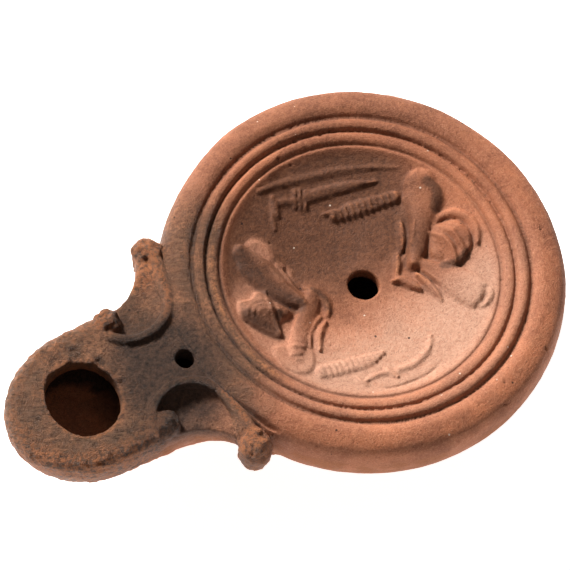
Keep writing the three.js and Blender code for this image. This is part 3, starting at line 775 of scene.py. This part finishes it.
def paint_masks(mesh, p, raised, outer):
    """Vertex masks for the material: worn edges, dirt and painted shade in hollows, and soot, then brown,
    dusty and burnt clay, then rubbed soot, the bare lower wall, and dark slip and painted shade on the
    figures' shaded sides."""
    r = np.hypot(p[:, 0], p[:, 1])
    angle = np.degrees(np.arctan2(p[:, 1], p[:, 0]))
    patchy = 6 * rough(p, 14.0, 91) + 2.5 * rough(p, 3.0, 97)
    soot = soot_mask(p, r, angle, patchy)
    low_wall = smoothstep(23.6, 20.8, p[:, 2]) * smoothstep(30, 34, r) * outer
    add_masks(mesh, "masks", *edge_masks(mesh, p, angle, outer), soot)
    add_masks(mesh, "tones", *slip_tones(p, r, raised, outer, patchy, soot), burnt_mask(p, outer, patchy))
    add_masks(mesh, "wear", rub_mask(p, patchy), low_wall, slip_and_shade_mask(p, r, outer))


def edge_masks(mesh, p, angle, outer):
    """Worn edges, and dirt and painted shade in hollows and ring grooves. On the rings both are strongest
    beside the nozzle.
    """
    edges = edges_of(mesh)
    normals = spread(normals_of(mesh), edges, 2)
    bump = ((p - spread(p, edges, 6)) * normals).sum(1)
    convex = smoothstep(0.03, 0.22, spread(bump, edges, 1))
    concave_dirt_and_shade = smoothstep(0.03, 0.22, spread(-bump, edges, 1))
    rings = smoothstep(24.5, 25.2, p[:, 2]) * outer
    turned = turned_radius(p)
    beside = smoothstep(-60, -25, angle) * smoothstep(75, 25, angle)
    spotty = smoothstep(-0.5, 0.6, rough(p, 2.2, 101))
    # Dirt and painted shade along the ring grooves
    for radius in RING_GROOVES:
        line = np.exp(-(((turned - radius) / 0.36) ** 2)) * rings
        concave_dirt_and_shade = np.maximum(concave_dirt_and_shade, line * (0.45 + 0.55 * beside) * (0.7 + 0.3 * spotty))
    for radius in RING_CRESTS:
        line = np.exp(-(((turned - radius) / 0.33) ** 2)) * rings
        convex = np.maximum(convex * (1 - 0.9 * beside * rings), line * (0.1 + 0.7 * beside) * spotty)
    convex = convex * (1 - 0.7 * rings * smoothstep(27.0, 26.0, turned))
    return convex, concave_dirt_and_shade


def soot_mask(p, r, angle, patchy):
    """Soot on the nozzle and the shoulder beside it, thinner at the lip and in the wick hole, and thinner in
    the +Y scoop, where the lighter clay is partly painted light in its cast shadow.
    """
    nozzle = smoothstep(27, 40, p[:, 0] + patchy * 0.7)
    beside = smoothstep(-66, -36, angle + patchy) * smoothstep(36, 18, angle + patchy)
    soot = np.maximum(nozzle,
                      0.9 * smoothstep(25.0, 28.0, r) * beside) * smoothstep(13, 21, p[:, 2] + 0.4 * patchy)
    soot *= 1 - 0.45 * smoothstep(66, 72, p[:, 0] + 0.3 * patchy) * smoothstep(25, 22, p[:, 2])
    soot *= 1 - 0.3 * smoothstep(1.15, 0.98, from_wick(p)) * smoothstep(25.6, 24.4, p[:, 2])
    # Lighter in the +Y scoop: partly thinner soot, partly painted light in the scoop's cast shadow
    from_scoop = np.hypot(p[:, 0] - VOLUTE_CENTRE[0] + 1, p[:, 1] - VOLUTE_CENTRE[1])
    soot *= 1 - 0.5 * smoothstep(1.1, 0.8, from_scoop / VOLUTE_RADIUS) * smoothstep(25.8, 25.0, p[:, 2])
    return soot


def burnt_mask(p, outer, patchy):
    """The inside of the lamp, and the nozzle's top between the two volutes."""
    in_wick = smoothstep(1.15, 0.98, from_wick(p))
    between = smoothstep(16, 6, np.hypot((p[:, 0] - 43) * 1.1, (p[:, 1] - 3) * 0.75) + 0.4 * patchy)
    return np.maximum((1 - outer) * (1 - in_wick), 0.95 * between * smoothstep(20, 24, p[:, 2]))


def rub_mask(p, patchy):
    """Where soot is rubbed off: the nozzle's outer edge and lip, the wick hole's rim, knobs and ridges."""
    lean = NOZZLE_SIDE * np.clip((p[:, 0] - SHOULDER_RADIUS) / (TIP - SHOULDER_RADIUS), 0, 1) ** 2
    outward = np.hypot(np.maximum(p[:, 0] - END_X, 0) / END_REACH, (p[:, 1] - lean) / HALF_WIDTH)
    edge = smoothstep(0.7, 1.0, outward + 0.016 * patchy) * smoothstep(44, 52, p[:, 0])
    rub = edge * (0.3 + 0.6 * smoothstep(-4, 8, p[:, 1]))
    rim = np.exp(-(((from_wick(p) - 1.06) / 0.06) ** 2))
    rub = np.maximum(rub, 0.45 * rim * smoothstep(24.6, 25.4, p[:, 2]))
    lip = smoothstep(24.8, 22.5, p[:, 2] + 0.1 * patchy) * smoothstep(48, 56, p[:, 0] + patchy)
    rub = np.maximum(rub, lip)
    for x, y, radius in SHOULDER_KNOBS + TIP_KNOBS + (SCOOP_RUB,):
        knob = smoothstep(1.4, 0.7,
                          np.hypot(p[:, 0] - x, p[:, 1] - y) / radius) * smoothstep(22, 25, p[:, 2])
        rub = np.maximum(rub, 0.8 * knob)
    for side in (1, -1):
        off, share, _ = along(p[:, :2], ridge_line(side))
        ridge = smoothstep(0.9, 0.2, off) * smoothstep(0.35, 0.55, share) * smoothstep(25.8, 26.3, p[:, 2])
        rub = np.maximum(rub, 0.7 * ridge)
    return rub * smoothstep(9, 16, p[:, 2])


def slip_tones(p, r, raised, outer, patchy, soot):
    """Brown slip on the nozzle's side of the discus and on its figures, and pale dust on the rest."""
    on_discus = smoothstep(27, 24, r) * outer
    brown = on_discus * smoothstep(11, -6, p[:, 1] + 0.4 * patchy)
    brown = brown * smoothstep(-26, -13, p[:, 0] + 0.5 * patchy)
    dusty = (0.25 + 0.75 * on_discus) * smoothstep(35, 30, r) * outer
    dusty = dusty * smoothstep(2, 16, p[:, 1] - 0.1 * p[:, 0] + 0.35 * patchy) * (1 - soot)
    for x, y, reach in DUSTY_PATCHES:
        patch = smoothstep(1.0, 0.4, np.hypot(p[:, 0] - x, p[:, 1] - y) / reach + 0.03 * patchy)
        brown = brown * (1 - 0.85 * patch)
        dusty = np.maximum(dusty, 0.4 * patch * on_discus)
    figures = smoothstep(0.25, 0.9, raised)
    dusty = dusty * (1 - 0.6 * figures * smoothstep(9, 3, p[:, 1]))
    brown = np.maximum(brown, 0.75 * figures * smoothstep(8, 2, p[:, 1]) * smoothstep(-2, 6, p[:, 0]))
    high = smoothstep(-5, -32, p[:, 1] + 0.5 * patchy) * smoothstep(24, 33, r) * outer
    return np.maximum(brown, 0.45 * high), dusty


def slip_and_shade_mask(p, r, outer):
    # Thick dark slip and painted shade along the figures' shaded sides
    on_discus = smoothstep(27, 24, r) * outer
    slip_and_shade = np.zeros(len(p))
    for points, reach in DARK_SLIP_AND_SHADE:
        dark = smoothstep(1.1, 0.55, along(p[:, :2], spline(points))[0] / reach) * on_discus
        slip_and_shade = np.maximum(slip_and_shade, dark)
    return slip_and_shade


def add_masks(mesh, name, *channels):
    """Stores three masks as the channels of a vertex colour attribute."""
    values = np.c_[tuple(channels) + (np.ones(len(mesh.vertices)),)].astype(np.float32)
    mesh.color_attributes.new(name, "FLOAT_COLOR", "POINT").data.foreach_set("color", values.ravel())


# Materials

class Nodes:
    """Short names for building a node tree."""

    def __init__(self, material):
        material.use_nodes = True
        self.tree = material.node_tree
        self.tree.nodes.clear()

    def add(self, kind, inputs=(), **settings):
        node = self.tree.nodes.new(kind)
        for name, value in settings.items():
            setattr(node, name, value)
        for name, value in dict(inputs).items():
            if isinstance(value, bpy.types.NodeSocket):
                self.tree.links.new(value, node.inputs[name])
            else:
                node.inputs[name].default_value = value
        return node

    def masks(self, name):
        """The three channels of a vertex colour attribute."""
        stored = self.add("ShaderNodeAttribute", attribute_name=name).outputs["Color"]
        return self.add("ShaderNodeSeparateColor", {"Color": stored}).outputs[:3]

    def grain(self, where, scale, detail=4.0, roughness=0.6):
        look = {"Vector": where, "Scale": scale, "Detail": detail, "Roughness": roughness}
        return self.add("ShaderNodeTexNoise", look).outputs["Fac"]

    def fit(self, value, low, high, to_low=0.0, to_high=1.0):
        return self.add(
            "ShaderNodeMapRange",
            {"Value": value, "From Min": low, "From Max": high, "To Min": to_low, "To Max": to_high},
            clamp=True,
        ).outputs["Result"]

    def math(self, operation, a, b=0.0):
        return self.add("ShaderNodeMath", {0: a, 1: b}, operation=operation).outputs[0]

    def speckles(self, where, scale, size, share, channel):
        """Small round spots: one in each cell of a scatter, in the share of cells above a limit."""
        cells = self.add("ShaderNodeTexVoronoi", {"Vector": where, "Scale": scale, "Randomness": 1.0})
        spots = self.math("LESS_THAN", cells.outputs["Distance"], size)
        pick = self.add("ShaderNodeSeparateColor", {"Color": cells.outputs["Color"]}).outputs[channel]
        return self.math("MULTIPLY", spots, self.math("GREATER_THAN", pick, share))

    def mix(self, share, a, b):
        return self.add("ShaderNodeMix", {0: share, 6: a, 7: b}, data_type="RGBA").outputs[2]


def colour(r, g, b):
    """Linear colour from display values of 0 to 255."""
    shares = (v / 255 for v in (r, g, b))
    return tuple(((v + 0.055) / 1.055) ** 2.4 if v > 0.04 else v / 12.92 for v in shares) + (1.0,)


def clay_material():
    material = bpy.data.materials.new("terracotta")
    n = Nodes(material)
    where = n.add("ShaderNodeTexCoord").outputs["Object"]
    edge, hollow_dirt_and_shade, soot = n.masks("masks")
    brown, dusty, burnt = n.masks("tones")
    rub, low_wall, slip_and_shade = n.masks("wear")
    wiping = {"Vector": where, "Rotation": (0, 0, WIPE_ANGLE), "Scale": (4.5, 1, 1)}
    wiped = n.add("ShaderNodeMapping", wiping, vector_type="TEXTURE").outputs["Vector"]
    streaks = n.grain(wiped, 2200, 4, 0.65)

    broad = n.grain(where, 45, 3)
    patch = n.grain(where, 140, 4, 0.65)
    fine = n.grain(where, 1400, 4, 0.7)
    grit = n.grain(where, 3600, 3, 0.7)

    # Slip, then its brown, dusty, bare and worn places, and dark slip and dirt that are partly painted shade
    slip = n.mix(n.fit(broad, 0.4, 0.62), colour(152, 90, 61), colour(182, 111, 76))
    slip = n.mix(n.fit(patch, 0.42, 0.64, 0, 0.7), slip, colour(126, 74, 54))
    slip = n.mix(n.fit(fine, 0.4, 0.7, 0, 0.5), slip, colour(194, 130, 95))
    slip = n.mix(n.fit(grit, 0.55, 0.68, 0, 0.3), slip, colour(224, 166, 132))
    brown_slip = n.mix(n.fit(fine, 0.35, 0.65), colour(66, 39, 24), colour(104, 64, 41))
    slip = n.mix(n.math("MULTIPLY", brown, 0.88), slip, brown_slip)
    slip = n.mix(n.math("MULTIPLY", dusty, n.fit(fine, 0.3, 0.6, 0.4, 0.75)), slip, colour(196, 155, 132))
    # Thick dark slip and painted shade on the figures' shaded sides
    slip_and_shade_colour = n.mix(n.fit(fine, 0.35, 0.65), colour(54, 32, 20), colour(88, 53, 34))
    slip = n.mix(n.math("MULTIPLY", slip_and_shade, 0.75), slip, slip_and_shade_colour)
    under = n.math("MULTIPLY", low_wall, n.fit(patch, 0.4, 0.56, 0.1, 0.8))
    slip = n.mix(under, slip, colour(164, 100, 60))
    worn = n.mix(n.fit(patch, 0.4, 0.6), colour(208, 140, 96), colour(190, 116, 74))
    wear = n.math("MULTIPLY", edge, n.fit(fine, 0.38, 0.58))
    slip = n.mix(n.math("MULTIPLY", wear, 0.6), slip, worn)
    # Dirt and painted shade in the hollows and ring grooves darken the slip
    slip = n.mix(n.math("MULTIPLY", hollow_dirt_and_shade, n.fit(fine, 0.3, 0.6, 0.45, 0.9)), slip, colour(74, 44, 31))

    # Soot, from charcoal to brown, rubbed and worn through to the clay
    charcoal = n.mix(n.fit(streaks, 0.3, 0.68), colour(60, 42, 31), colour(136, 101, 79))
    brownish = n.mix(n.fit(fine, 0.36, 0.66), colour(96, 62, 45), colour(190, 132, 95))
    black = n.mix(n.fit(patch, 0.38, 0.62, 0, 0.85), charcoal, brownish)
    chafed = n.math("MULTIPLY", n.fit(streaks, 0.54, 0.64), n.fit(patch, 0.44, 0.6))
    black = n.mix(n.math("MULTIPLY", chafed, 0.3), black, colour(178, 122, 84))
    rubbed = n.math("MULTIPLY", rub, n.fit(fine, 0.42, 0.56))
    black = n.mix(n.math("MULTIPLY", rubbed, 0.85), black, colour(184, 112, 66))
    black = n.mix(n.math("MULTIPLY", wear, 0.9), black, colour(204, 134, 84))
    # Dirt and painted shade in the hollows darken the soot
    black = n.mix(n.math("MULTIPLY", hollow_dirt_and_shade, 0.85), black, colour(28, 21, 18))
    base = n.mix(soot, slip, black)
    base = n.mix(burnt, base, n.mix(n.fit(fine, 0.35, 0.65), colour(34, 25, 20), colour(86, 62, 49)))

    # Dark grains, pale specks and pores
    base = n.mix(n.fit(grit, 0.45, 0.34, 0, 0.45), base, colour(66, 42, 32))
    specks = n.speckles(where, 380.0, 0.07, 0.88, 0)
    base = n.mix(n.math("MULTIPLY", specks, 0.7), base, colour(236, 218, 200))
    pores = n.speckles(where, 330.0, 0.075, 0.86, 1)
    base = n.mix(n.math("MULTIPLY", pores, 0.85), base, colour(38, 24, 20))

    height = n.math("ADD", n.math("MULTIPLY", fine, 0.3), n.math("MULTIPLY", grit, 0.35))
    scale_like = n.math("ADD", n.math("MULTIPLY", streaks, 0.5), n.math("MULTIPLY", grit, 1.7))
    height = n.math("ADD", height, n.math("MULTIPLY", scale_like, n.math("MULTIPLY", soot, 0.8)))
    height = n.math("SUBTRACT", height, n.math("MULTIPLY", pores, 0.5))
    bump = n.add("ShaderNodeBump", {"Height": height, "Strength": 1.0, "Distance": BUMP_REACH})
    roughness = n.fit(n.math("SUBTRACT", patch, n.math("MULTIPLY", soot, 0.3)), 0.1, 0.65, 0.45, 0.8)
    clay = {"Base Color": base, "Roughness": roughness, "Normal": bump.outputs["Normal"]}
    surface = n.add("ShaderNodeBsdfPrincipled", clay)
    surface.inputs["Specular IOR Level"].default_value = SLIP_GLOSS
    n.add("ShaderNodeOutputMaterial", {"Surface": surface.outputs["BSDF"]})
    return material


def floor_material():
    material = bpy.data.materials.new("floor")
    n = Nodes(material)
    surface = n.add("ShaderNodeBsdfPrincipled", {"Base Color": (0.9, 0.9, 0.9, 1.0), "Roughness": 0.8})
    surface.inputs["Emission Color"].default_value = (1, 1, 1, 1)
    surface.inputs["Emission Strength"].default_value = FLOOR_GLOW
    n.add("ShaderNodeOutputMaterial", {"Surface": surface.outputs["BSDF"]})
    return material


# Stage

def add_floor():
    bpy.ops.mesh.primitive_plane_add(size=FLOOR_SIZE)
    floor = bpy.context.object
    floor.name = "floor"
    floor.data.materials.append(floor_material())


CAMERA_AZIMUTH, CAMERA_ELEVATION, CAMERA_ROLL = 139.1, 62.3, 13.0
CAMERA_DISTANCE = 0.7
PIXEL = 0.000185  # metres a pixel at the shoulder's height
RINGS_AT = (362.02, 266.21)  # where the middle of the rings falls in the picture
FRAME_PIXELS = 570


def camera_axes():
    azimuth, elevation, roll = np.radians((CAMERA_AZIMUTH, CAMERA_ELEVATION, CAMERA_ROLL))
    back = np.array([np.sin(azimuth) * np.cos(elevation), -np.cos(azimuth) * np.cos(elevation),
                     np.sin(elevation)])
    level = np.cross(-back, (0, 0, 1))
    level /= np.linalg.norm(level)
    upright = np.cross(level, -back)
    up = upright * np.cos(roll) - level * np.sin(roll)
    right = level * np.cos(roll) + upright * np.sin(roll)
    return right, up, back


def add_camera():
    right, up, back = camera_axes()
    offset = (np.array(RINGS_AT) - FRAME_PIXELS / 2) * PIXEL
    place = np.array([0, 0, HEIGHT * MM]) + back * CAMERA_DISTANCE - right * offset[0] + up * offset[1]
    data = bpy.data.cameras.new("camera")
    data.lens = data.sensor_width * CAMERA_DISTANCE / PIXEL / FRAME_PIXELS
    camera = bpy.data.objects.new("camera", data)
    rotation = Matrix((right, up, back)).transposed().to_4x4()
    camera.matrix_world = Matrix.Translation(Vector(place)) @ rotation
    bpy.context.scene.collection.objects.link(camera)
    bpy.context.scene.camera = camera


def add_lights():
    data = bpy.data.lights.new("key", "AREA")
    data.shape = "DISK"
    data.size = KEY_SIZE
    data.energy = KEY_POWER
    data.color = KEY_TINT
    light = bpy.data.objects.new("key", data)
    toward = Vector(sum(share * axis for share, axis in zip(KEY_FROM, camera_axes()))).normalized()
    turn = toward.to_track_quat("Z", "Y").to_matrix().to_4x4()
    light.matrix_world = Matrix.Translation(Vector(KEY_AIM) + toward * KEY_DISTANCE) @ turn
    bpy.context.scene.collection.objects.link(light)
    world = bpy.data.worlds.new("world")
    bpy.context.scene.world = world
    world.use_nodes = True
    background = world.node_tree.nodes["Background"]
    background.inputs["Color"].default_value = SKY_TINT
    background.inputs["Strength"].default_value = SKY
    bpy.context.scene.view_settings.view_transform = "Standard"


lamp = build_lamp()
lamp.data.materials.clear()
lamp.data.materials.append(clay_material())
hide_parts("lamp")
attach(lamp, "root")
add_floor()
add_camera()
add_lights()
